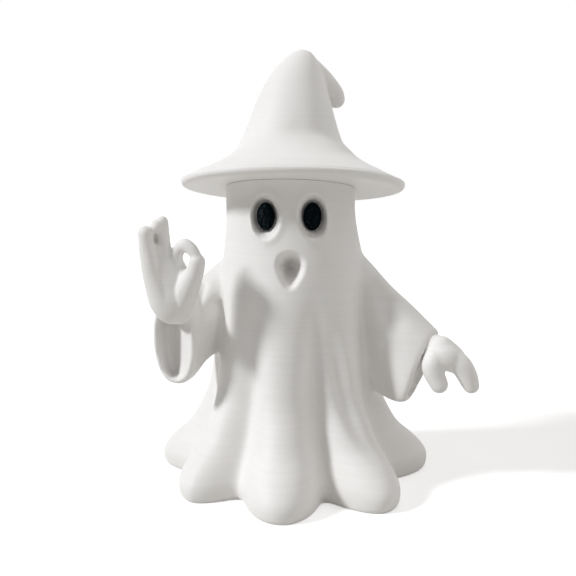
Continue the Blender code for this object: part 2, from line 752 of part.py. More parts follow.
def keyed_cylinder(name, growth, cutters):
    """Makes the spigot with a flat for a key, or with a growth the socket that takes it."""
    seat = hat_frame()
    foot = seat @ Vector((0.0, 0.0, -SPIGOT_ROOT))
    top = seat @ Vector((0.0, 0.0, SPIGOT_HEIGHT + growth))
    spigot = cylinder(name, foot, top, SPIGOT_RADIUS + growth, cutters)
    aside = Matrix.Translation((0.0, SPIGOT_FLAT + growth + KEY_BOX[1] / 2, 0.0))
    boolean(spigot, slab("key", hat_frame(-KEY_DROP) @ aside, KEY_BOX, cutters), "DIFFERENCE")
    return spigot


def eye_plug(name, angle, growth, collection):
    """Makes the oval plug of an eye, or with a growth the hole that takes it."""
    place = face_frame(angle, EYE_HEIGHT)
    sides = 32
    rings = []
    front = EYE_SINK - EYE_DOME if growth == 0.0 else -0.001
    levels = [(EYE_SINK, 1.0), (EYE_SINK + EYE_PLUG_DEPTH + growth, 1.0)]
    if growth > 0.0:
        levels.insert(0, (front, 1.0))
    else:
        for k in range(5):
            turn = 0.5 * math.pi * (k + 0.5) / 5
            levels.insert(k, (EYE_SINK - EYE_DOME * math.cos(turn), math.sin(turn)))
    for depth, share in levels:
        ring = []
        for k in range(sides):
            turn = 2.0 * math.pi * k / sides
            wide = (EYE_HALF_WIDTH + growth) * share * math.cos(turn)
            high = (EYE_HALF_HEIGHT + growth) * share * math.sin(turn)
            ring.append(place @ Vector((wide, depth, high)))
        rings.append(ring)
    return loft(name, rings, collection)


def build_hat(collection, cutters, material):
    """Makes the hat, with its wide brim and its tip that bends over to one side."""
    frame = hat_frame(CLEARANCE)
    rows = [((0.0, 0.0, height), radius) for height, radius in BRIM_ROWS] + list(CROWN_ROWS)
    path = curve_points([Vector((*centre, radius)) for centre, radius in rows], 5)
    sides = 96
    turns = [2.0 * math.pi * k / sides for k in range(sides)]
    rings = []
    for point in path:
        ring = [Vector((math.cos(turn), math.sin(turn), 0.0)) * point.w for turn in turns]
        rings.append([point.to_3d() + offset for offset in ring])
    body = loft("hat_body", rings, cutters)
    tip_points = [row[0] for row in TIP_ROWS]
    tip = tapered_tube("hat_tip", tip_points, [row[1] for row in TIP_ROWS], cutters, sides=36)
    hat = join_shapes("hat", [body, tip], collection)
    melt(hat, HAT_VOXEL, HAT_SMOOTHING)
    thin_out(hat, HAT_TRIANGLES)
    hat.data.transform(frame)
    under = frame @ Matrix.Translation((0.0, 0.0, BRIM_TRIM - TRIM_BOX[2]))
    boolean(hat, slab("brim_floor", under, TRIM_BOX, cutters), "DIFFERENCE")
    boolean(hat, keyed_cylinder("socket", CLEARANCE, cutters), "DIFFERENCE")
    hat.data.materials.append(material)
    return hat


def build_eye(name, angle, collection, material):
    """Makes a domed oval eye whose back is a plug in the head."""
    obj = eye_plug(name, angle, 0.0, collection)
    obj.data.materials.append(material)
    return obj


def finger(name, rows, collection, flat=1.0, across=None):
    """Makes one finger, thumb or palm from its rows."""
    points = [row[0] for row in rows]
    radii = [row[1] for row in rows]
    return tapered_tube(name, points, radii, collection, flat, across)


def build_hand(name, shapes, heel, rows, cuff, wrist, collection, cutters, material):
    """Fuses the shapes of a hand with a wrist, and gives the wrist a plug that fits its cuff."""
    mouth = cuff_point(rows, wrist, 0.0)
    inner = cuff_point(rows, wrist, 0.5 * cuff[0])
    radii = [WRIST_SWELL * wrist[2], wrist[2], wrist[2]]
    shapes.append(tapered_tube("wrist", [heel, mouth, inner], radii, cutters))
    hand = join_shapes(name, shapes, collection)
    melt(hand, HAND_VOXEL, HAND_SMOOTHING)
    thin_out(hand, HAND_TRIANGLES)
    boolean(hand, wrist_plug("plug", rows, cuff, wrist, 0.0, cutters), "UNION")
    hand.data.materials.append(material)
    return hand


def build_right_hand(collection, cutters, material):
    """Makes the raised hand, whose finger and thumb meet in a ring."""
    shapes = [finger("palm", RIGHT_PALM, cutters, PALM_FLATNESS, (1.0, 0.0, 0.0))]
    for rows in (RIGHT_LITTLE, RIGHT_RING, RIGHT_MIDDLE, RIGHT_INDEX, RIGHT_THUMB, RIGHT_WEB):
        shapes.append(finger("finger", rows, cutters))
    heel = RIGHT_PALM[1][0]
    arm = (RIGHT_SLEEVE_ROWS, RIGHT_CUFF, RIGHT_WRIST)
    return build_hand("right_hand", shapes, heel, *arm, collection, cutters, material)


def build_left_hand(collection, cutters, material):
    """Makes the hanging hand, whose fingers lie one behind another."""
    shapes = [
        finger("palm", LEFT_PALM, cutters, PALM_FLATNESS, (0.0, 1.0, 0.0)),
        finger("thenar", LEFT_THENAR, cutters),
        finger("finger", LEFT_INDEX, cutters),
        finger("thumb", LEFT_THUMB, cutters),
    ]
    for shift, share in LEFT_FINGER_SHIFTS:
        rows = [(Vector(point) + Vector(shift), radius * share) for point, radius in LEFT_INDEX]
        shapes.append(finger("finger", rows, cutters))
    heel = LEFT_PALM[0][0]
    arm = (LEFT_SLEEVE_ROWS, LEFT_CUFF, LEFT_WRIST)
    return build_hand("left_hand", shapes, heel, *arm, collection, cutters, material)


def main():
    clear_scene()
    parts = new_collection("ghost_figurine")
    cutters = new_collection("cutters")
    white = make_material("matte_white", WHITE, 0.6)
    black = make_material("gloss_black", BLACK, 0.12)
    build_robe(parts, cutters, white)
    build_hat(parts, cutters, white)
    build_right_hand(parts, cutters, white)
    build_left_hand(parts, cutters, white)
    for name, angle in zip(("right_eye", "left_eye"), EYE_ANGLES):
        build_eye(name, angle, parts, black)
    for obj in parts.objects:
        shade_round(obj)


main()
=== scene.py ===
"""The looks of a ghost figurine: a matte white print with glossy black eyes, on a pale floor.

Sizes are in millimetres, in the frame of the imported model: +Z up, the ghost faces -Y and its own
left hand points to +X. Each form starts as a primitive and takes its shape from the sizes below.
Forms that the real print has in one skin are fused by a remesh, and their creases are softened.
"""

from __future__ import annotations

import logging
import math
from dataclasses import dataclass
from enum import Enum
from typing import ClassVar, Sequence, Union

import bmesh
import bpy
import numpy as np
from mathutils import Matrix, Vector


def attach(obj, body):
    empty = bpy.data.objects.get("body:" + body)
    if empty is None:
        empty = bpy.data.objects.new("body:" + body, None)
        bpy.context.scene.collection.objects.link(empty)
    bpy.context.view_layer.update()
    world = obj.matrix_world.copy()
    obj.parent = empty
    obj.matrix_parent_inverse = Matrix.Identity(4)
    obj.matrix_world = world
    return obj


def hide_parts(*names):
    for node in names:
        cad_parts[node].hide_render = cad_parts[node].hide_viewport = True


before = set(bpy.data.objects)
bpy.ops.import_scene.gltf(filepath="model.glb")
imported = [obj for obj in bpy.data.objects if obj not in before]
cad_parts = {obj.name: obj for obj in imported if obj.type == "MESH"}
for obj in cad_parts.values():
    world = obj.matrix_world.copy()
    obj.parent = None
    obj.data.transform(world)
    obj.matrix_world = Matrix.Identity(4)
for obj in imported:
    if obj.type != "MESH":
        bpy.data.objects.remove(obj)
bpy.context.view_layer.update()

LOG = logging.getLogger("ghost_figurine")

MM = 0.001
BODY = "root"
MATTE_WHITE = "matte_white"
GLOSS_BLACK = "gloss_black"
UP = Vector((0.0, 0.0, 1.0))
WHITE = (1.0, 1.0, 1.0)
# Degrees from the front, -Y, to the +X axis
FRONT_TURN = 90.0

Form = bpy.types.Object
Material = bpy.types.Material
Socket = bpy.types.NodeSocket
Point = tuple[float, float, float]
Knot = tuple[float, float, float, float]
Span = tuple[float, float]
# A sleeve's section: top point, bottom point, half width at both, turn about the upright
Section = tuple[Point, Point, float, float, float]
# What feeds a node's input: the socket that it is joined to, or its value
Feed = Union[Socket, float, Sequence[float]]


def ramp(value: float) -> float:
    """Goes smoothly from 0 to 1 as the value does."""
    value = min(1.0, max(0.0, value))
    return value * value * (3.0 - 2.0 * value)


def turn_between(first: float, second: float) -> float:
    """Returns the smallest turn in degrees from the second angle to the first."""
    return (first - second + 180.0) % 360.0 - 180.0


def turns(count: int) -> list[float]:
    """Returns evenly spread turns in radians, from 0 to just under a full one."""
    return [math.tau * k / count for k in range(count)]


def heading(turn: float) -> Vector:
    """Returns the level direction at a turn in radians from the +X axis."""
    return Vector((math.cos(turn), math.sin(turn), 0.0))


def smooth_value(rows: Sequence[Sequence[float]], position: float, column: int) -> float:
    """Reads a column of sorted rows along a curve that never overshoots.

    Args:
        rows: Rows sorted by their first value.
        position: Where to read, on the scale of the first value.
        column: The column to read.

    Returns:
        The value there, held at the first and the last row outside them.
    """
    xs = [row[0] for row in rows]
    ys = [row[column] for row in rows]
    if position <= xs[0]:
        return ys[0]
    if position >= xs[-1]:
        return ys[-1]
    slopes = [(ys[i + 1] - ys[i]) / (xs[i + 1] - xs[i]) for i in range(len(xs) - 1)]
    tangents = [slopes[0]]
    for before, after in zip(slopes, slopes[1:]):
        tangents.append(2.0 * before * after / (before + after) if before * after > 0.0 else 0.0)
    tangents.append(slopes[-1])
    i = max(k for k in range(len(xs) - 1) if xs[k] <= position)
    width = xs[i + 1] - xs[i]
    t = (position - xs[i]) / width
    value = ys[i] * (2 * t**3 - 3 * t**2 + 1) + ys[i + 1] * (3 * t**2 - 2 * t**3)
    return value + width * (tangents[i] * (t**3 - 2 * t**2 + t) + tangents[i + 1] * (t**3 - t**2))


def curve_points(points: Sequence[Vector], steps: int) -> list[Vector]:
    """Draws a smooth curve through vectors of any size.

    Args:
        points: The vectors that the curve passes through.
        steps: How many points to make from one vector to the next.

    Returns:
        The points of the curve, the given ends among them.
    """
    ends = [points[0] * 2 - points[1], *points, points[-1] * 2 - points[-2]]
    result = []
    for i in range(1, len(ends) - 2):
        before, start, end, after = ends[i - 1 : i + 3]
        for k in range(steps):
            t = k / steps
            bend = start * 2 + (end - before) * t
            bend += (before * 2 - start * 5 + end * 4 - after) * t**2
            bend += (start * 3 - before - end * 3 + after) * t**3
            result.append(bend / 2)
    result.append(points[-1].copy())
    return result


class Bench:
    """The modelling steps that the forms share."""

    # Half of the primitive cylinder's radius and height, which are both 1
    HALF: float = 0.5
    SMOOTH_FACTOR: float = 0.5
    # Vertices closer to a cut than this, in metres, lie on it
    CUT_THRESHOLD: float = 0.00001

    @staticmethod
    def deselect() -> None:
        """Deselects every object."""
        bpy.ops.object.select_all(action="DESELECT")

    @staticmethod
    def activate(form: Form) -> None:
        """Makes one form the only one selected and the active one.

        Args:
            form: The form to work on next.
        """
        Bench.deselect()
        form.select_set(True)
        bpy.context.view_layer.objects.active = form

    @staticmethod
    def read(form: Form, kind: str = "co") -> np.ndarray:
        """Reads a vector of each of a form's vertices.

        Args:
            form: The form to read.
            kind: The vector: co, which is the vertex's place in metres, or normal.

        Returns:
            One row for each vertex.
        """
        values = np.empty(3 * len(form.data.vertices))
        form.data.vertices.foreach_get(kind, values)
        return values.reshape(-1, 3)

    @staticmethod
    def move(form: Form, places: np.ndarray) -> None:
        """Moves a form's vertices to new places, given in metres."""
        form.data.vertices.foreach_set("co", places.ravel())
        form.data.update()

    @staticmethod
    def skin(name: str, rings: Sequence[Sequence[Vector]]) -> Form:
        """Draws a cylinder's skin over rings of points.

        Args:
            name: The form's name.
            rings: Rings of points in millimetres, each with the same count, a multiple of 4.

        Returns:
            A closed form in metres, with its faces pointing outward.
        """
        sides = len(rings[0])
        Bench.deselect()
        bpy.ops.mesh.primitive_cylinder_add(
            vertices=sides, radius=1.0, depth=1.0, end_fill_type="TRIFAN", location=UP * Bench.HALF
        )
        bpy.ops.object.transform_apply(location=True)
        form = bpy.context.object
        form.name = name
        bpy.ops.object.mode_set(mode="EDIT")
        bpy.ops.mesh.select_mode(type="EDGE")
        bpy.ops.mesh.select_all(action="DESELECT")
        drawn = bmesh.from_edit_mesh(form.data)
        for edge in drawn.edges:
            edge.select_set(abs(edge.verts[0].co.z - edge.verts[1].co.z) > Bench.HALF)
        bmesh.update_edit_mesh(form.data)
        cuts = len(rings) - 2
        bpy.ops.mesh.subdivide_edgering(number_cuts=cuts, interpolation="LINEAR", smoothness=0.0)
        bpy.ops.object.mode_set(mode="OBJECT")
        for vertex in form.data.vertices:
            ring = rings[round(vertex.co.z * (len(rings) - 1))]
            if vertex.co.xy.length < Bench.HALF:
                vertex.co = sum(ring, Vector()) * (MM / sides)
            else:
                turn = math.atan2(vertex.co.y, vertex.co.x) / math.tau
                vertex.co = ring[round(turn * sides) % sides] * MM
        bpy.ops.object.mode_set(mode="EDIT")
        bpy.ops.mesh.select_all(action="SELECT")
        bpy.ops.mesh.normals_make_consistent(inside=False)
        bpy.ops.object.mode_set(mode="OBJECT")
        return form

    @staticmethod
    def apply(form: Form, kind: str, **settings: object) -> None:
        """Adds one modifier and applies it.

        Args:
            form: The form to change.
            kind: The modifier's type, such as REMESH.
            **settings: The modifier's settings by name.
        """
        Bench.activate(form)
        modifier = form.modifiers.new(kind.title(), kind)
        for key, value in settings.items():
            setattr(modifier, key, value)
        bpy.ops.object.modifier_apply(modifier=modifier.name)

    @staticmethod
    def melt(form: Form, voxel: float, passes: int) -> None:
        """Fuses what overlaps in a form and softens its creases.

        Args:
            form: The form to change.
            voxel: The size in millimetres of the new skin's squares.
            passes: How often the skin is smoothed.
        """
        Bench.apply(form, "REMESH", mode="VOXEL", voxel_size=voxel * MM, adaptivity=0.0)
        Bench.apply(form, "SMOOTH", factor=Bench.SMOOTH_FACTOR, iterations=passes)

    @staticmethod
    def fuse(name: str, forms: Sequence[Form], voxel: float, passes: int) -> Form:
        """Joins overlapping forms in one soft skin.

        Args:
            name: The name of the joined form.
            forms: The forms, which are used up.
            voxel: The size in millimetres of the skin's squares.
            passes: How often the skin is smoothed.

        Returns:
            The joined form.
        """
        Bench.deselect()
        for form in forms:
            form.select_set(True)
        bpy.context.view_layer.objects.active = forms[0]
        bpy.ops.object.join()
        whole = bpy.context.object
        whole.name = name
        Bench.melt(whole, voxel, passes)
        return whole

    @staticmethod
    def carve(form: Form, tool: Form) -> None:
        """Cuts a closed tool out of a form and removes the tool."""
        Bench.apply(form, "BOOLEAN", operation="DIFFERENCE", solver="EXACT", object=tool)
        bpy.data.objects.remove(tool, do_unlink=True)

    @staticmethod
    def trim(form: Form, point: Vector, outward: Vector) -> None:
        """Slices a form flat and closes it there.

        Args:
            form: The form to change.
            point: A point of the plane in millimetres.
            outward: The side of the plane that is taken off.
        """
        Bench.activate(form)
        bpy.ops.object.mode_set(mode="EDIT")
        bpy.ops.mesh.select_all(action="SELECT")
        plane = {"plane_co": point * MM, "plane_no": outward, "threshold": Bench.CUT_THRESHOLD}
        bpy.ops.mesh.bisect(**plane, use_fill=True, clear_outer=True)
        bpy.ops.object.mode_set(mode="OBJECT")


class Piece:
    """A piece of the ghost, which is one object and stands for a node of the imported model."""

    # Edges that turn by more degrees than this are shown sharp
    SHARP_ANGLE: float = 50.0
    node: str

    def shape(self) -> Form:
        """Makes the piece's shape under the piece's name."""
        raise NotImplementedError

    def build(self, slot: str, material: Material) -> None:
        """Makes the piece, gives it its material and sets it in the frame.

        Args:
            slot: The record's material slot, which is not used.
            material: The material that it shows.
        """
        form, node = self.shape(), self.node
        Bench.activate(form)
        bpy.ops.object.shade_smooth_by_angle(angle=math.radians(self.SHARP_ANGLE))
        form.data.name = form.name
        form.data.materials.clear()
        form.data.materials.append(material)
        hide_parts(node)
        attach(form, BODY)
        LOG.info("%s: %d faces, stands for %s", form.name, len(form.data.polygons), node)


@dataclass(frozen=True)
class Limb:
    """A round-ended finger, thumb, palm or tip, which is thinner or thicker along its way."""

    # Centre and radius, from one end to the other
    knots: tuple[Knot, ...]
    # Share of the radius that is left at right angles to the direction across
    flatness: float = 1.0
    across: Point | None = None
    sides: int = 32
    steps: int = 8
    cap_steps: int = 7

    def rings(self) -> list[list[Vector]]:
        """Works out the limb's skin, with a rounded cap at each end.

        Returns:
            The rings of points in millimetres.
        """
        curve = curve_points([Vector(knot) for knot in self.knots], self.steps)
        path = [point.to_3d() for point in curve]
        radii = [point.w for point in curve]
        last = len(path) - 1
        ways = []
        for i in range(last + 1):
            ways.append((path[min(i + 1, last)] - path[max(i - 1, 0)]).normalized())
        stations = []
        for reach, radius in self.cap(radii[0]):
            stations.append((path[0] - ways[0] * reach, radius, ways[0]))
        stations += zip(path, radii, ways)
        for reach, radius in reversed(self.cap(radii[-1])):
            stations.append((path[-1] + ways[-1] * reach, radius, ways[-1]))
        side = Vector(self.across) if self.across else ways[0].orthogonal()
        rings = []
        for centre, radius, way in stations:
            side = (side - way * side.dot(way)).normalized()
            thick = way.cross(side) * (radius * self.flatness)
            ring = []
            for turn in turns(self.sides):
                ring.append(centre + side * (radius * math.cos(turn)) + thick * math.sin(turn))
            rings.append(ring)
        return rings

    def cap(self, radius: float) -> list[tuple[float, float]]:
        """Returns the reach and the radius of each ring of a rounded end, from its tip."""
        tilts = [0.5 * math.pi * (k + 0.5) / self.cap_steps for k in range(self.cap_steps)]
        return [(radius * self.flatness * math.cos(t), radius * math.sin(t)) for t in tilts]

    def build(self, name: str) -> Form:
        """Makes the limb as a form."""
        return Bench.skin(name, self.rings())


@dataclass(frozen=True)
class Press:
    """A soft-edged oval that is pressed into the face, with a raised lip round it if it has a rim.

    The angle is in degrees from the front. The softness of the edge, the narrowing toward the foot
    and the least width are shares of the oval's size.
    """

    angle: float
    height: float
    half_width: float
    half_height: float
    depth: float
    softness: float
    narrowing: float = 0.0
    rim: float = 0.0
    least_width: float = 0.5

    def depth_at(self, angle: float, radius: float, height: float) -> float:
        """Works out how deep the press is at a place on the head.

        Args:
            angle: The place's angle in degrees from the front.
            radius: Its distance from the head's axis.
            height: Its height.

        Returns:
            The depth, which is negative on the lip.
        """
        across = math.radians(angle - self.angle) * radius
        up = (height - self.height) / self.half_height
        half_width = self.half_width * max(self.least_width, 1.0 + self.narrowing * up)
        distance = math.hypot(across / half_width, up)
        edge = (distance - 1.0 - self.softness) / self.softness
        pressed = self.depth * ramp((1.0 + self.softness - distance) / (2.0 * self.softness))
        return pressed - self.rim * math.exp(-edge * edge)


@dataclass(frozen=True)
class Stroke:
    """A soft groove drawn along a line that is seen from the front."""

    line: tuple[tuple[float, float], ...]
    half_width: float
    depth: float
    # How fast the groove comes in as the form turns to the front
    facing_gain: float = 2.0

    def depths(self, places: np.ndarray) -> np.ndarray:
        """Works out how deep the groove is.

        Args:
            places: Places seen from the front, in millimetres, one row for each.

        Returns:
            The depth in millimetres at each place.
        """
        nearest = np.full(len(places), np.inf)
        for start, end in zip(np.array(self.line), np.array(self.line)[1:]):
            way = end - start
            along = np.clip((places - start) @ way / (way @ way), 0.0, 1.0)
            aside = places - start - along[:, None] * way
            nearest = np.minimum(nearest, np.linalg.norm(aside, axis=1))
        return self.depth * np.exp(-((nearest / self.half_width) ** 2))

    def draw(self, form: Form) -> None:
        """Draws the stroke into what faces the front of a form.

        Args:
            form: The form to change.
        """
        places = Bench.read(form)
        facing = np.clip(Bench.read(form, "normal")[:, 1] * -self.facing_gain, 0.0, 1.0)
        places[:, 1] += self.depths(places[:, [0, 2]] / MM) * facing * MM
        Bench.move(form, places)


@dataclass(frozen=True)
class Folds:
    """The folds of the robe, which grow toward the hem."""

    crest_radius: float = 39.6
    valley_radius: float = 28.4
    reference_height: float = 45.0
    roundness: float = 1.6
    # Crests and valleys in turn: angle at the floor, angle at the reference height, radius
    rows: tuple[Point, ...] = (
        (-138.0, -138.0, 39.0), (-122.0, -122.0, 29.2), (-102.5, -100.0, 40.2),
        (-78.0, -79.0, 31.2), (-47.0, -54.0, 38.8), (-30.5, -33.0, 29.6), (-4.5, -12.0, 41.4),
        (18.0, 16.5, 30.3), (36.5, 40.0, 41.8), (66.0, 66.0, 30.6), (97.0, 94.0, 40.5),
        (118.0, 118.0, 29.6), (140.0, 140.0, 39.2), (161.0, 161.0, 29.0), (182.0, 182.0, 39.8),
        (202.0, 202.0, 29.0),
    )
    # Narrow pleats: angle and height at the foot, the same at the top, half width, depth
    pleats: tuple[tuple[float, ...], ...] = (
        (17.5, 0.0, 15.0, 56.0, 6.5, 2.2), (41.0, 8.0, 27.0, 50.0, 5.5, 2.3),
        (-32.0, 0.0, -31.0, 48.0, 7.0, 0.9), (68.0, 0.0, 64.0, 34.0, 7.0, 1.0),
        (-78.0, 0.0, -79.0, 30.0, 7.0, 0.8),
    )
    # Shares of a pleat over which it comes in from its foot and goes out at its top
    pleat_start: float = 0.3
    pleat_end: float = 0.45

    def weight(self, angle: float, height: float) -> float:
        """Works out where the robe is between a valley and a crest.

        Args:
            angle: Degrees from the front.
            height: The height.

        Returns:
            0 in a valley of mean depth and 1 on a crest of mean height.
        """
        lean = min(1.0, height / self.reference_height)
        knots = [(foot + lean * (top - foot), radius) for foot, top, radius in self.rows]
        for i, (start, start_radius) in enumerate(knots):
            end, end_radius = knots[(i + 1) % len(knots)]
            span = (end - start) % 360.0
            along = (angle - start) % 360.0
            if along > span:
                continue
            rising = start_radius < end_radius
            t = along / span if rising else 1.0 - along / span
            valley, crest = sorted((start_radius, end_radius))
            radius = valley + (crest - valley) * math.sin(0.5 * math.pi * t) ** self.roundness
            return (radius - self.valley_radius) / (self.crest_radius - self.valley_radius)
        return 0.0

    def pleat_depth(self, angle: float, height: float) -> float:
        """Works out how deep the narrow pleats cut in.

        Args:
            angle: Degrees from the front.
            height: The height.

        Returns:
            The depth.
        """
        depth = 0.0
        for foot_angle, foot, top_angle, top, half_width, deepest in self.pleats:
            along = (height - foot) / (top - foot)
            if not 0.0 <= along <= 1.0:
                continue
            centre = foot_angle + along * (top_angle - foot_angle)
            aside = turn_between(angle, centre) / half_width
            coming = ramp(along / self.pleat_start) if foot > 0.0 else 1.0
            fade = ramp((1.0 - along) / self.pleat_end) * coming
            depth += deepest * fade * math.exp(-aside * aside)
        return depth


@dataclass(frozen=True)
class Sleeve:
    """A bell sleeve that opens at a hollow cuff."""

    # From inside the robe to the cuff
    rows: tuple[Section, ...]
    hollow_depth: float
    # Where the hollow's floor is beside its mouth, and the share of its width that it has
    floor_shift: float
    floor_share: float
    # How late the hollow bends aside on its way to its floor
    hollow_ease: float = 1.3
    # How far the tool that cuts the hollow sticks out of the cuff
    tool_reach: float = 2.0
    squareness: float = 0.86
    wall: float = 1.45
    sides: int = 96
    steps: int = 10

    def axes(self, row: Section) -> tuple[Vector, Vector, Vector]:
        """Returns a section's centre, its upward half length and its direction across."""
        top, bottom = Vector(row[0]), Vector(row[1])
        return (top + bottom) / 2, (top - bottom) / 2, heading(-math.radians(row[4]))

    def ring(
        self, row: Section, inset: float = 0.0, shift: Vector = Vector(), share: float = 1.0
    ) -> list[Vector]:
        """Draws the egg-shaped outline of a section.

        Args:
            row: The section.
            inset: How far the outline is drawn in.
            shift: How far it is moved.
            share: The share of its width that it keeps.

        Returns:
            The outline's points.
        """
        centre, up, across = self.axes(row)
        points = []
        for turn in turns(self.sides):
            high = math.copysign(abs(math.cos(turn)) ** self.squareness, math.cos(turn))
            wide = math.copysign(abs(math.sin(turn)) ** self.squareness, math.sin(turn))
            half_width = 0.5 * (row[2] + row[3]) + 0.5 * (row[2] - row[3]) * high - inset
            point = centre + shift + up.normalized() * ((up.length - inset) * high)
            points.append(point + across * (half_width * share * wide))
        return points

    def inward(self) -> Vector:
        """Works out which way the cuff is hollowed.

        Returns:
            The direction from the cuff into the sleeve.
        """
        centre, up, across = self.axes(self.rows[-1])
        way = up.cross(across).normalized()
        return way if way.dot(self.axes(self.rows[-2])[0] - centre) > 0.0 else -way

    def build(self) -> Form:
        """Makes the sleeve as a solid form.

        Returns:
            The form.
        """
        outlines = [self.ring(row) for row in self.rows]
        tracks = []
        for k in range(self.sides):
            tracks.append(curve_points([outline[k] for outline in outlines], self.steps))
        return Bench.skin("sleeve", [list(ring) for ring in zip(*tracks)])

    def hollow(self) -> Form:
        """Makes the tapering tool that cuts the hollow of the cuff.

        Returns:
            The tool.
        """
        row = self.rows[-1]
        across = self.axes(row)[2]
        rings = [self.ring(row, self.wall, self.inward() * -self.tool_reach)]
        for step in range(self.steps + 1):
            t = step / self.steps
            ease = t**self.hollow_ease
            shift = self.inward() * (self.hollow_depth * t) + across * (self.floor_shift * ease)
            rings.append(self.ring(row, self.wall, shift, 1.0 + (self.floor_share - 1.0) * ease))
        return Bench.skin("cuff_hollow", rings)


@dataclass(frozen=True)
class HatSeat:
    """Where the hat sits on the head: the tilted plane of the brim's underside."""

    height: float = 82.2
    tilt_back: float = 9.4
    tilt_side: float = 1.1
    # How far the head reaches into the brim's shallow hollow
    reach: float = 0.38

    def frame(self) -> Matrix:
        """Works out the hat's own frame.

        Returns:
            The frame's matrix in millimetres.
        """
        lean = Matrix.Rotation(math.radians(-self.tilt_back), 4, "X")
        roll = Matrix.Rotation(math.radians(self.tilt_side), 4, "Y")
        return Matrix.Translation((0.0, 0.0, self.height)) @ lean @ roll


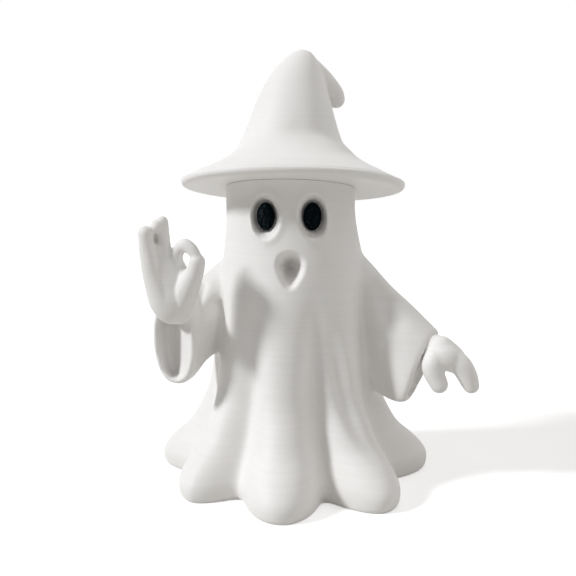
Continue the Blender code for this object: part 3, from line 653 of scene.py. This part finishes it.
@dataclass
class Robe(Piece):
    """The robe with its head and two sleeves, one skin as on the real print."""

    node: ClassVar[str] = "robe"
    # Where the head is cut off under the hat
    seat: HatSeat
    folds: Folds = Folds()
    # How far aside the head's axis is, and the heights between which it moves there
    head_shift: float = -0.7
    head_shift_foot: float = 60.0
    head_shift_top: float = 80.0
    # Height, then the radius in a valley and on a crest
    profile: tuple[Point, ...] = (
        (0.0, 27.3, 38.5), (1.2, 28.07, 39.3), (3.5, 28.4, 39.6), (6.2, 27.4, 38.3),
        (9.0, 26.2, 35.8), (14.0, 24.3, 30.6), (19.5, 22.8, 27.5), (25.0, 21.6, 25.1),
        (31.0, 21.0, 24.0), (41.0, 20.6, 22.6), (52.0, 20.6, 21.3), (61.0, 20.2, 20.3),
        (65.7, 19.6, 19.6), (70.0, 18.9, 18.9), (76.0, 18.3, 18.3), (98.0, 18.0, 18.0),
    )
    right_sleeve: Sleeve = Sleeve((
        ((-10.0, 2.0, 69.0), (-10.0, 2.0, 45.0), 8.0, 7.0, 68.0),
        ((-20.0, -1.0, 62.0), (-19.6, -1.0, 37.6), 7.0, 6.6, 56.0),
        ((-27.7, -6.5, 55.3), (-26.5, -6.5, 34.2), 6.7, 6.6, 38.0),
        ((-31.3, -11.8, 53.6), (-30.2, -12.2, 30.3), 6.7, 6.3, 26.0),
        ((-32.5, -17.6, 53.4), (-31.9, -18.2, 30.3), 6.7, 6.1, 18.0),
    ), hollow_depth=5.6, floor_shift=-3.7, floor_share=0.27)
    left_sleeve: Sleeve = Sleeve((
        ((11.0, 2.0, 72.0), (13.0, 1.0, 35.0), 7.8, 6.2, -86.0),
        ((20.0, -2.5, 63.9), (20.8, -4.0, 26.8), 7.0, 5.2, -78.0),
        ((27.0, -6.0, 56.2), (26.0, -9.2, 24.3), 6.2, 4.4, -72.0),
        ((33.4, -9.0, 50.2), (29.2, -12.0, 23.6), 5.9, 4.3, -66.0),
        ((40.0, -11.2, 43.6), (32.0, -13.6, 24.3), 5.8, 4.5, -57.0),
    ), hollow_depth=1.3, floor_shift=0.2, floor_share=0.92)
    # Angle, height, half width, half height, depth, softness
    mouth: Press = Press(-2.0, 61.7, 2.0, 2.75, 8.5, 1.0, narrowing=0.22)
    right_socket: Press = Press(-22.0, 75.7, 3.5, 4.8, 4.4, 0.30, rim=0.42)
    left_socket: Press = Press(18.9, 75.7, 3.4, 4.8, 4.2, 0.30, rim=0.42)
    # Places across and up that the line goes through, then half width and depth
    strokes: tuple[Stroke, ...] = (
        Stroke(((18.8, 54.0), (19.4, 47.7), (20.7, 39.9), (23.3, 32.2), (26.3, 25.9)), 2.3, 1.8),
        Stroke(((22.0, 56.8), (25.1, 51.8), (27.0, 46.8)), 3.0, 1.3),
        Stroke(((25.6, 39.5), (27.4, 29.4)), 1.7, 0.7),
        Stroke(((-20.9, 50.5), (-19.8, 47.0), (-19.6, 43.0), (-20.3, 38.9)), 1.9, 1.8),
        Stroke(((-24.9, 55.6), (-25.8, 51.8), (-26.2, 47.4)), 1.0, 0.9),
    )
    # Nothing of the face is below this height
    face_foot: float = 50.0
    # The foot is cut flat at one height, and what is below the other goes down by as much
    cut_height: float = 0.4
    settled_height: float = 2.0
    voxel: float = 0.55
    fuse_passes: int = 14
    cuff_passes: int = 4
    sides: int = 288
    level: float = 0.8

    def lean(self, height: float) -> float:
        """Returns how far the robe's axis leans aside at a height."""
        rise = self.head_shift_top - self.head_shift_foot
        return self.head_shift * ramp((height - self.head_shift_foot) / rise)

    def radius(self, angle: float, height: float) -> float:
        """Works out the robe's radius without its face.

        Args:
            angle: Degrees from the front.
            height: The height.

        Returns:
            The radius.
        """
        valley = smooth_value(self.profile, height, 1)
        crest = smooth_value(self.profile, height, 2)
        weight = self.folds.weight(angle, height)
        return valley + (crest - valley) * weight - self.folds.pleat_depth(angle, height)

    def body(self) -> Form:
        """Makes the folded bell up to the crown of the head.

        Returns:
            The form.
        """
        levels = []
        for (low, *_), (high, *_) in zip(self.profile, self.profile[1:]):
            count = max(2, round((high - low) / self.level))
            levels += [low + (high - low) * k / count for k in range(count)]
        levels.append(self.profile[-1][0])
        rings = []
        for height in levels:
            centre = Vector((self.lean(height), 0.0, height))
            ring = []
            for turn in turns(self.sides):
                radius = self.radius(math.degrees(turn) + FRONT_TURN, height)
                ring.append(heading(turn) * radius + centre)
            rings.append(ring)
        return Bench.skin("robe_body", rings)

    def press_face(self, form: Form) -> None:
        """Presses the mouth and the eye sockets straight back into the front of the head.

        Args:
            form: The form to change.
        """
        presses = (self.mouth, self.right_socket, self.left_socket)
        for vertex in form.data.vertices:
            height = vertex.co.z / MM
            offset = Vector((vertex.co.x / MM - self.lean(height), vertex.co.y / MM))
            if offset.y > 0.0 or height < self.face_foot:
                continue
            angle = math.degrees(math.atan2(offset.x, -offset.y))
            depth = sum(press.depth_at(angle, offset.length, height) for press in presses)
            vertex.co.y += depth * MM

    def settle(self, form: Form) -> None:
        """Lowers the cut foot of the robe to the floor.

        Args:
            form: The form to change.
        """
        for vertex in form.data.vertices:
            if vertex.co.z < self.settled_height * MM:
                vertex.co.z = max(0.0, vertex.co.z - self.cut_height * MM)

    def shape(self) -> Form:
        """Makes the robe.

        Returns:
            The form.
        """
        sleeves = (self.right_sleeve, self.left_sleeve)
        forms = [self.body()] + [sleeve.build() for sleeve in sleeves]
        robe = Bench.fuse("draped_robe", forms, self.voxel, self.fuse_passes)
        for sleeve in sleeves:
            Bench.carve(robe, sleeve.hollow())
        Bench.melt(robe, self.voxel, self.cuff_passes)
        self.press_face(robe)
        for stroke in self.strokes:
            stroke.draw(robe)
        Bench.trim(robe, UP * self.cut_height, -UP)
        seat = self.seat.frame()
        upward = seat.to_3x3() @ UP
        Bench.trim(robe, seat.translation + upward * self.seat.reach, upward)
        self.settle(robe)
        return robe


@dataclass
class Hat(Piece):
    """The wide-brimmed hat whose tip flops over beside the crown."""

    node: ClassVar[str] = "hat"
    seat: HatSeat
    # Height above the underside and radius
    brim: tuple[tuple[float, float], ...] = (
        (0.5, 15.5), (0.45, 20.0), (0.25, 25.0), (0.0, 29.0),
        (0.1, 30.3), (0.4, 31.05), (0.9, 31.4), (1.5, 31.5),
        (2.0, 31.3), (2.25, 30.7), (2.5, 30.0), (3.1, 28.8),
        (4.7, 25.6), (6.65, 21.7), (8.8, 18.4), (11.0, 16.1),
    )
    # Centre and radius
    crown: tuple[Knot, ...] = (
        (-0.5, 0.0, 13.4, 14.4), (-0.5, 0.0, 16.8, 13.1), (-0.4, 0.0, 20.4, 11.9),
        (-0.3, 0.0, 24.0, 10.8), (-0.1, 0.0, 27.5, 9.5), (0.3, 0.0, 31.0, 8.1),
        (0.9, 0.0, 34.4, 6.4), (1.5, 0.0, 37.2, 4.4), (1.8, 0.0, 38.8, 2.8),
        (1.9, 0.0, 39.6, 1.3),
    )
    tip: Limb = Limb((
        (3.6, 1.6, 34.1, 4.3), (6.9, 2.9, 32.1, 3.75), (9.4, 3.8, 30.1, 3.35),
        (11.2, 4.4, 28.4, 2.95), (11.9, 4.6, 27.1, 2.6),
    ))
    # The fine line round the top of the brim, scored into what is above a height
    score_radius: float = 30.35
    score_half_width: float = 0.34
    score_depth: float = 1.0
    score_above: float = 1.4
    # A shallow dent low in the front of the crown, placed in the ghost's frame
    dent: Stroke = Stroke(((2.0, 98.4), (5.0, 98.0), (9.0, 98.8)), 3.2, 0.55)
    voxel: float = 0.37
    passes: int = 5
    sides: int = 256
    steps: int = 8

    def shape(self) -> Form:
        """Makes the hat.

        Returns:
            The form.
        """
        rows = [Vector((0.0, 0.0, height, radius)) for height, radius in self.brim]
        rows += [Vector(row) for row in self.crown]
        rings = []
        for point in curve_points(rows, self.steps):
            circle = [heading(turn) * point.w for turn in turns(self.sides)]
            rings.append([point.to_3d() + offset for offset in circle])
        forms = [Bench.skin("crown", rings), self.tip.build("tip")]
        hat = Bench.fuse("pointed_hat", forms, self.voxel, self.passes)
        self.score(hat)
        frame_in_metres = self.seat.frame()
        frame_in_metres.translation *= MM
        hat.data.transform(frame_in_metres)
        self.dent.draw(hat)
        return hat

    def score(self, hat: Form) -> None:
        """Scores the fine line round the top of the brim, just inside its edge.

        Args:
            hat: The hat in its own frame.
        """
        places = Bench.read(hat)
        radii = np.hypot(places[:, 0], places[:, 1]) / MM
        aside = (radii - self.score_radius) / self.score_half_width
        above = places[:, 2] > self.score_above * MM
        places[:, 2] -= self.score_depth * np.exp(-aside * aside) * above * MM
        Bench.move(hat, places)


@dataclass
class Hand(Piece):
    """A hand that is fused from the limbs among its fields."""

    name: ClassVar[str]
    voxel: float = 0.25
    passes: int = 20

    def limbs(self) -> list[Limb]:
        """Returns the limbs among the hand's fields, in their order."""
        return [value for value in vars(self).values() if isinstance(value, Limb)]

    def shape(self) -> Form:
        """Makes the hand from its limbs."""
        forms = [limb.build("hand_part") for limb in self.limbs()]
        return Bench.fuse(self.name, forms, self.voxel, self.passes)


@dataclass
class RaisedHand(Hand):
    """The right hand, whose finger and thumb meet in a ring."""

    name: ClassVar[str] = "raised_hand"
    node: ClassVar[str] = "right_hand"
    palm: Limb = Limb((
        (-28.6, -22.6, 49.7, 2.5), (-30.4, -22.8, 51.8, 5.0), (-31.4, -22.6, 54.2, 6.1),
        (-32.3, -22.1, 57.2, 6.2), (-33.3, -21.8, 61.2, 5.9), (-34.4, -21.8, 64.8, 4.9),
        (-35.0, -22.3, 67.6, 3.2),
    ), flatness=0.52, across=(0.97, 0.25, 0.0))
    wrist: Limb = Limb((
        (-30.4, -21.6, 52.0, 2.8), (-32.0, -17.4, 49.4, 2.5), (-31.6, -12.5, 48.9, 2.5),
    ))
    little_finger: Limb = Limb((
        (-34.0, -22.9, 54.5, 3.2), (-35.6, -23.0, 58.5, 3.0), (-36.5, -23.2, 61.4, 2.7),
        (-37.1, -23.4, 64.5, 2.45), (-37.7, -23.5, 68.0, 2.15), (-37.95, -23.8, 72.0, 2.0),
    ))
    ring_finger: Limb = Limb((
        (-34.9, -21.4, 63.0, 2.0), (-35.0, -20.4, 68.0, 1.5), (-35.1, -21.0, 72.0, 1.6),
        (-35.1, -22.4, 74.0, 1.65), (-35.2, -23.1, 73.4, 1.6),
    ))
    middle_finger: Limb = Limb((
        (-33.3, -21.8, 61.5, 2.4), (-33.5, -21.7, 66.0, 2.0), (-33.6, -21.8, 70.0, 1.7),
        (-33.75, -22.0, 73.0, 1.65), (-33.8, -22.4, 74.8, 1.6),
    ))
    forefinger: Limb = Limb((
        (-31.0, -21.0, 60.5, 2.3), (-30.5, -21.5, 64.4, 1.75), (-29.8, -22.6, 67.2, 1.65),
        (-28.1, -23.9, 68.85, 1.85), (-26.3, -24.8, 68.1, 1.65), (-25.1, -25.2, 66.7, 1.5),
    ))
    thumb: Limb = Limb((
        (-29.6, -22.0, 52.0, 3.0), (-28.3, -22.8, 55.6, 3.3), (-26.6, -23.9, 59.4, 2.95),
        (-25.2, -24.8, 62.4, 2.35), (-24.6, -25.3, 64.7, 2.15),
    ))
    # The skin between the thumb and the forefinger
    web: Limb = Limb((
        (-29.8, -21.9, 54.5, 3.6), (-28.9, -21.7, 58.0, 3.3), (-28.1, -22.2, 60.0, 2.6),
    ))


@dataclass
class HangingHand(Hand):
    """The left hand, whose fingers lie one behind another."""

    name: ClassVar[str] = "hanging_hand"
    node: ClassVar[str] = "left_hand"
    palm: Limb = Limb((
        (39.4, -12.4, 38.8, 3.2), (40.9, -12.7, 38.2, 4.2), (42.6, -12.8, 37.2, 5.0),
        (44.6, -12.4, 35.9, 4.7),
    ), flatness=0.66, across=(0.0, 1.0, 0.0))
    # The ball of the thumb
    thenar: Limb = Limb((
        (39.7, -13.6, 38.0, 3.2), (40.6, -14.0, 37.7, 3.8), (42.4, -14.2, 36.9, 3.8),
        (44.6, -14.2, 35.7, 3.2),
    ))
    finger: Limb = Limb((
        (40.6, -12.8, 38.8, 4.0), (43.3, -13.9, 36.8, 3.4), (46.2, -14.7, 34.7, 3.0),
        (48.1, -14.8, 31.7, 2.7), (49.1, -14.7, 29.2, 2.3),
    ))
    thumb: Limb = Limb((
        (39.1, -14.5, 37.2, 3.2), (38.2, -15.0, 35.0, 3.15), (38.8, -15.3, 32.4, 2.85),
        (40.1, -15.6, 29.7, 2.5),
    ))
    wrist: Limb = Limb((
        (39.2, -12.0, 39.5, 3.5), (37.6, -11.6, 39.2, 3.3), (34.0, -10.4, 39.9, 3.0),
    ))
    # Shift of each further finger from the first, and its share of the thickness
    shifts: tuple[tuple[Point, float], ...] = (
        ((-0.2, 2.6, 0.1), 0.98),
        ((-0.6, 5.0, 0.8), 0.93),
        ((-0.4, 6.9, 1.4), 0.82),
    )
    passes: int = 24

    def further_finger(self, shift: Point, share: float) -> Limb:
        """Returns a finger behind the first, which starts at that one's second knot."""
        (aside, back, up), rest = shift, self.finger.knots[1:]
        return Limb(tuple((x + aside, y + back, z + up, r * share) for x, y, z, r in rest))

    def limbs(self) -> list[Limb]:
        """Returns the limbs of the hand, its further fingers last."""
        further = [self.further_finger(shift, share) for shift, share in self.shifts]
        return super().limbs() + further


class Side(Enum):
    """The ghost's own right or left side."""

    RIGHT = "right"
    LEFT = "left"


# Where each eye is, in degrees from the front
EYE_ANGLES = {Side.RIGHT: -21.4, Side.LEFT: 18.5}


@dataclass
class Eye(Piece):
    """A domed oval eye at the bottom of its socket."""

    side: Side
    robe: Robe
    height: float = 75.7
    half_width: float = 2.58
    half_height: float = 3.75
    # How far the eye sits behind the head's own skin, straight back
    sink: float = 2.25
    dome: float = 0.9
    thickness: float = 1.6
    sides: int = 64
    steps: int = 28

    @property
    def node(self) -> str:
        """Returns the node that the eye stands for."""
        return f"{self.side.value}_eye"

    def shape(self) -> Form:
        """Makes the eye.

        Returns:
            The form.
        """
        angle = EYE_ANGLES[self.side]
        across = heading(math.radians(angle))
        outward = Vector((across.y, -across.x, 0.0))
        centre = outward * self.robe.radius(angle, self.height)
        centre += Vector((self.robe.lean(self.height), self.sink, self.height))
        rings = []
        for step in range(self.steps):
            tilt = math.pi * (step + 0.5) / self.steps
            rise = math.cos(tilt)
            middle = centre + outward * (rise * (self.dome if rise > 0.0 else self.thickness))
            ring = []
            for turn in turns(self.sides):
                wide = across * (self.half_width * math.sin(tilt) * math.cos(turn))
                high = UP * (self.half_height * math.sin(tilt) * math.sin(turn))
                ring.append(middle + wide + high)
            rings.append(ring)
        return Bench.skin(f"{self.side.value}_pupil", rings)


class Wiring:
    """The nodes of a material or of the surroundings, with short ways to add more."""

    # The inputs and the output of a Mix node that has colours
    FIRST_COLOUR: int = 6
    SECOND_COLOUR: int = 7
    COLOUR_RESULT: int = 2

    def __init__(self, owner: bpy.types.ID) -> None:
        """Turns on the nodes of a material or a world."""
        owner.use_nodes = True
        self.tree = owner.node_tree

    def feed(self, node: bpy.types.Node, inputs: dict[str | int, Feed]) -> None:
        """Sets a node's inputs, or joins them to the sockets that feed them.

        Args:
            node: The node.
            inputs: What feeds each input, by its name or number.
        """
        for key, value in inputs.items():
            if isinstance(value, Socket):
                self.tree.links.new(value, node.inputs[key])
            else:
                node.inputs[key].default_value = value

    def add(
        self, kind: str, inputs: dict[str | int, Feed], **settings: object
    ) -> bpy.types.NodeOutputs:
        """Adds a node.

        Args:
            kind: The node's type, without the ShaderNode that its name starts with.
            inputs: What feeds each input, by its name or number.
            **settings: The node's own settings by name.

        Returns:
            The node's outputs.
        """
        node = self.tree.nodes.new(f"ShaderNode{kind}")
        for key, value in settings.items():
            setattr(node, key, value)
        self.feed(node, inputs)
        return node.outputs

    def place(self) -> Socket:
        """Returns the place on the object, in metres."""
        return self.add("TexCoord", {})["Object"]

    def noise(self, place: Feed, scale: float, detail: float) -> Socket:
        """Returns an even noise of a scale and a detail."""
        inputs = {"Vector": place, "Scale": scale, "Detail": detail}
        return self.add("TexNoise", inputs)["Fac"]

    def carry(self, value: Feed, source: Span, target: Span) -> Socket:
        """Returns a value carried from a source span to a target span, and held at their ends."""
        ends = dict(zip(("From Min", "From Max", "To Min", "To Max"), (*source, *target)))
        return self.add("MapRange", {"Value": value, **ends})["Result"]

    def reckon(self, operation: str, first: Feed, second: Feed) -> Socket:
        """Returns the result of a sum on two values."""
        return self.add("Math", {0: first, 1: second}, operation=operation)["Value"]

    def blend(self, share: Feed, first: Point, second: Point) -> Socket:
        """Returns the blend of a first and a second colour, by the second one's share."""
        inputs = {0: share, self.FIRST_COLOUR: (*first, 1.0), self.SECOND_COLOUR: (*second, 1.0)}
        return self.add("Mix", inputs, data_type="RGBA")[self.COLOUR_RESULT]

    def bump(self, height: Feed, relief: Span, below: Feed | None = None) -> Socket:
        """Roughens the surface where it is lit.

        Args:
            height: The pattern.
            relief: The share of its effect, and its depth in millimetres.
            below: The relief that it lies on.

        Returns:
            The surface's direction.
        """
        inputs = {"Height": height, "Strength": relief[0], "Distance": relief[1] * MM}
        if below is not None:
            inputs["Normal"] = below
        return self.add("Bump", inputs)["Normal"]

    def seen_by_eye(self) -> Socket:
        """Tells what the eye sees from what only lights the object.

        Returns:
            A socket that is 1 for camera, glossy and transmission rays.
        """
        rays = self.add("LightPath", {})
        total = rays["Is Camera Ray"]
        for name in ("Is Glossy Ray", "Is Transmission Ray"):
            total = self.reckon("MAXIMUM", total, rays[name])
        return total


@dataclass(frozen=True)
class PrintedPlastic:
    """Matte white plastic, printed in fine level layers."""

    colour: Point = (0.86, 0.85, 0.84)
    patch_colour: Point = (0.82, 0.79, 0.76)
    roughness: float = 0.55
    specular: float = 0.35
    # Height of a layer, and the radians that a wave texture of scale 1 turns by over a metre
    layer: float = 0.18
    wave_turn: float = 20.0
    wave_distortion: float = 0.6
    # Detail and its scale
    wave_detail: Span = (2.0, 0.6)
    # Scale and detail of the fine grain, and of the wide patches of the other colour
    grain: Span = (900.0, 4.0)
    patches: Span = (70.0, 3.0)
    patch_span: Span = (0.45, 0.8)
    patch_share: float = 0.35
    # The level bands: stretch along each axis, scale and detail, span of the noise, darkest tone
    band_stretch: Point = (9.0, 9.0, 1500.0)
    bands: Span = (1.0, 2.0)
    band_span: Span = (0.35, 0.65)
    band_tone: float = 0.975
    # Share of the effect, and depth
    band_relief: Span = (0.6, 0.022)
    layer_relief: Span = (0.25, 0.03)
    grain_relief: Span = (0.2, 0.05)
    name: str = "matte_white_print"

    def build(self) -> Material:
        """Makes the material.

        Returns:
            The material.
        """
        material = bpy.data.materials.new(self.name)
        wiring = Wiring(material)
        place = wiring.place()
        inputs = {"Vector": place, "Scale": self.band_stretch}
        stretched = wiring.add("Mapping", inputs)["Vector"]
        bands = wiring.noise(stretched, *self.bands)
        ridges = wiring.bump(bands, self.band_relief)
        lines = wiring.bump(self.layers(wiring, place), self.layer_relief, ridges)
        rough = wiring.bump(wiring.noise(place, *self.grain), self.grain_relief, lines)
        wiring.feed(material.node_tree.nodes["Principled BSDF"], {
            "Base Color": self.tint(wiring, place, bands),
            "Roughness": self.roughness,
            "Specular IOR Level": self.specular,
            "Normal": rough,
        })
        return material

    def layers(self, wiring: Wiring, place: Socket) -> Socket:
        """Draws the lines of the layers.

        Args:
            wiring: The material's nodes.
            place: The place on the object.

        Returns:
            The pattern.
        """
        inputs = {
            "Vector": place,
            "Scale": math.tau / (self.wave_turn * self.layer * MM),
            "Distortion": self.wave_distortion,
            "Detail": self.wave_detail[0],
            "Detail Scale": self.wave_detail[1],
        }
        return wiring.add("TexWave", inputs, bands_direction="Z")["Fac"]

    def tint(self, wiring: Wiring, place: Socket, bands: Socket) -> Socket:
        """Colours the plastic.

        Args:
            wiring: The material's nodes.
            place: The place on the object.
            bands: The pattern of the level bands.

        Returns:
            The colour.
        """
        patches = wiring.noise(place, *self.patches)
        amount = wiring.carry(patches, self.patch_span, (0.0, self.patch_share))
        shade = wiring.blend(amount, self.colour, self.patch_colour)
        tone = wiring.carry(bands, self.band_span, (self.band_tone, 1.0))
        inputs = {0: shade, "Scale": tone}
        return wiring.add("VectorMath", inputs, operation="SCALE")["Vector"]


@dataclass(frozen=True)
class GlossyBlack:
    """Black plastic whose gloss is broken by fine specks."""

    colour: Point = (0.0015, 0.0032, 0.0040)
    gloss_tint: Point = (0.62, 0.84, 1.0)
    # Scale and detail of the specks, and their relief: share of the effect, and depth
    specks: Span = (1500.0, 3.0)
    relief: Span = (0.7, 0.05)
    # Roughness over a span of the specks
    rough_span: Span = (0.35, 0.65)
    roughness: Span = (0.26, 0.51)
    # Gloss over a span of the specks
    gloss_span: Span = (0.52, 0.68)
    gloss: Span = (0.05, 0.62)
    # The gloss fades between these places across the face, to a share of itself
    fade_span: Span = (-8.3, -6.2)
    fade_share: float = 0.2
    name: str = "gloss_black_plastic"

    def build(self) -> Material:
        """Makes the material.

        Returns:
            The material.
        """
        material = bpy.data.materials.new(self.name)
        wiring = Wiring(material)
        place = wiring.place()
        specks = wiring.noise(place, *self.specks)
        across = wiring.add("SeparateXYZ", {"Vector": place})["X"]
        start, end = self.fade_span
        fade = wiring.carry(across, (start * MM, end * MM), (1.0, self.fade_share))
        glint = wiring.carry(specks, self.gloss_span, self.gloss)
        wiring.feed(material.node_tree.nodes["Principled BSDF"], {
            "Base Color": (*self.colour, 1.0),
            "Roughness": wiring.carry(specks, self.rough_span, self.roughness),
            "Specular IOR Level": wiring.reckon("MULTIPLY", glint, fade),
            "Specular Tint": (*self.gloss_tint, 1.0),
            "Normal": wiring.bump(specks, self.relief),
        })
        return material


@dataclass(frozen=True)
class Sun:
    """Light that comes from far away."""

    name: str
    # The way that the light travels
    way: Point
    energy: float
    # Degrees over which the light spreads
    angle: float
    colour: Point

    def build(self) -> None:
        """Sets the sun in the scene."""
        data = bpy.data.lights.new(self.name, "SUN")
        data.color = self.colour
        data.energy = self.energy
        data.angle = math.radians(self.angle)
        sun = bpy.data.objects.new(self.name, data)
        sun.rotation_euler = Vector(self.way).to_track_quat("-Z", "Y").to_euler()
        bpy.context.scene.collection.objects.link(sun)


@dataclass
class Studio:
    """The pale floor, the soft daylight from the left and the camera."""

    camera_distance: float = 240.0
    camera_height: float = 90.8
    camera_pitch: float = 8.7
    sensor_width: float = 36.0
    clip_start: float = 1.0
    # The focal length, the picture's width and the object's axis, in the photograph's pixels
    focal_pixels: float = 842.0
    frame_pixels: float = 576.0
    centre_pixel: float = 293.0
    key: Sun = Sun("key", (0.79, 0.225, -0.58), 2.32, 10.0, (0.97, 0.985, 1.0))
    fill: Sun = Sun("fill", (-0.52, 0.08, -0.85), 1.1, 100.0, (1.0, 0.982, 0.955))
    # Strength of the surroundings as a light, in the fill's colour, and as the eye sees them
    ambient: float = 0.18
    backdrop: float = 1.0
    # The floor's colour as it throws light back, and as the eye sees it
    floor_colour: Point = (0.68, 0.665, 0.64)
    floor_seen_colour: Point = (0.9, 0.9, 0.9)
    floor_roughness: float = 0.9
    floor_glow: float = 0.40
    floor_half: float = 1500.0

    def camera(self) -> None:
        """Sets the camera at the photograph's angle."""
        data = bpy.data.cameras.new("camera")
        data.sensor_width = self.sensor_width
        data.lens = self.sensor_width * self.focal_pixels / self.frame_pixels
        data.shift_x = (0.5 * self.frame_pixels - self.centre_pixel) / self.frame_pixels
        data.clip_start = self.clip_start * MM
        camera = bpy.data.objects.new("camera", data)
        camera.location = Vector((0.0, -self.camera_distance, self.camera_height)) * MM
        camera.rotation_euler = (math.radians(90.0 - self.camera_pitch), 0.0, 0.0)
        bpy.context.scene.collection.objects.link(camera)
        bpy.context.scene.camera = camera

    def surroundings(self) -> None:
        """Sets the white surroundings, which are dimmer as a light than to the eye."""
        world = bpy.data.worlds.new("surroundings")
        bpy.context.scene.world = world
        wiring = Wiring(world)
        seen = wiring.seen_by_eye()
        wiring.feed(world.node_tree.nodes["Background"], {
            "Color": wiring.blend(seen, self.fill.colour, WHITE),
            "Strength": wiring.carry(seen, (0.0, 1.0), (self.ambient, self.backdrop)),
        })

    def floor(self) -> None:
        """Lays the plain pale floor, which keeps the object's shadow."""
        Bench.deselect()
        bpy.ops.mesh.primitive_plane_add(size=2.0 * self.floor_half * MM)
        floor = bpy.context.object
        floor.name = "floor"
        material = bpy.data.materials.new("pale_floor")
        wiring = Wiring(material)
        seen = wiring.seen_by_eye()
        wiring.feed(material.node_tree.nodes["Principled BSDF"], {
            "Base Color": wiring.blend(seen, self.floor_colour, self.floor_seen_colour),
            "Roughness": self.floor_roughness,
            "Specular IOR Level": 0.0,
            "Emission Color": (*WHITE, 1.0),
            "Emission Strength": wiring.reckon("MULTIPLY", seen, self.floor_glow),
        })
        floor.data.materials.append(material)

    def build(self) -> None:
        """Sets up the whole studio."""
        self.floor()
        self.key.build()
        self.fill.build()
        self.surroundings()
        self.camera()
        bpy.context.scene.view_settings.view_transform = "Standard"


def main() -> None:
    """Builds the pieces in order and reports the size."""
    logging.basicConfig(level=logging.INFO, format="%(name)s: %(message)s")
    white = PrintedPlastic().build()
    black = GlossyBlack().build()
    seat = HatSeat()
    robe = Robe(seat)
    for piece in (robe, Hat(seat), RaisedHand(), HangingHand()):
        piece.build(MATTE_WHITE, white)
    for side in Side:
        Eye(side, robe).build(GLOSS_BLACK, black)
    Studio().build()


if __name__ == "__main__":
    main()
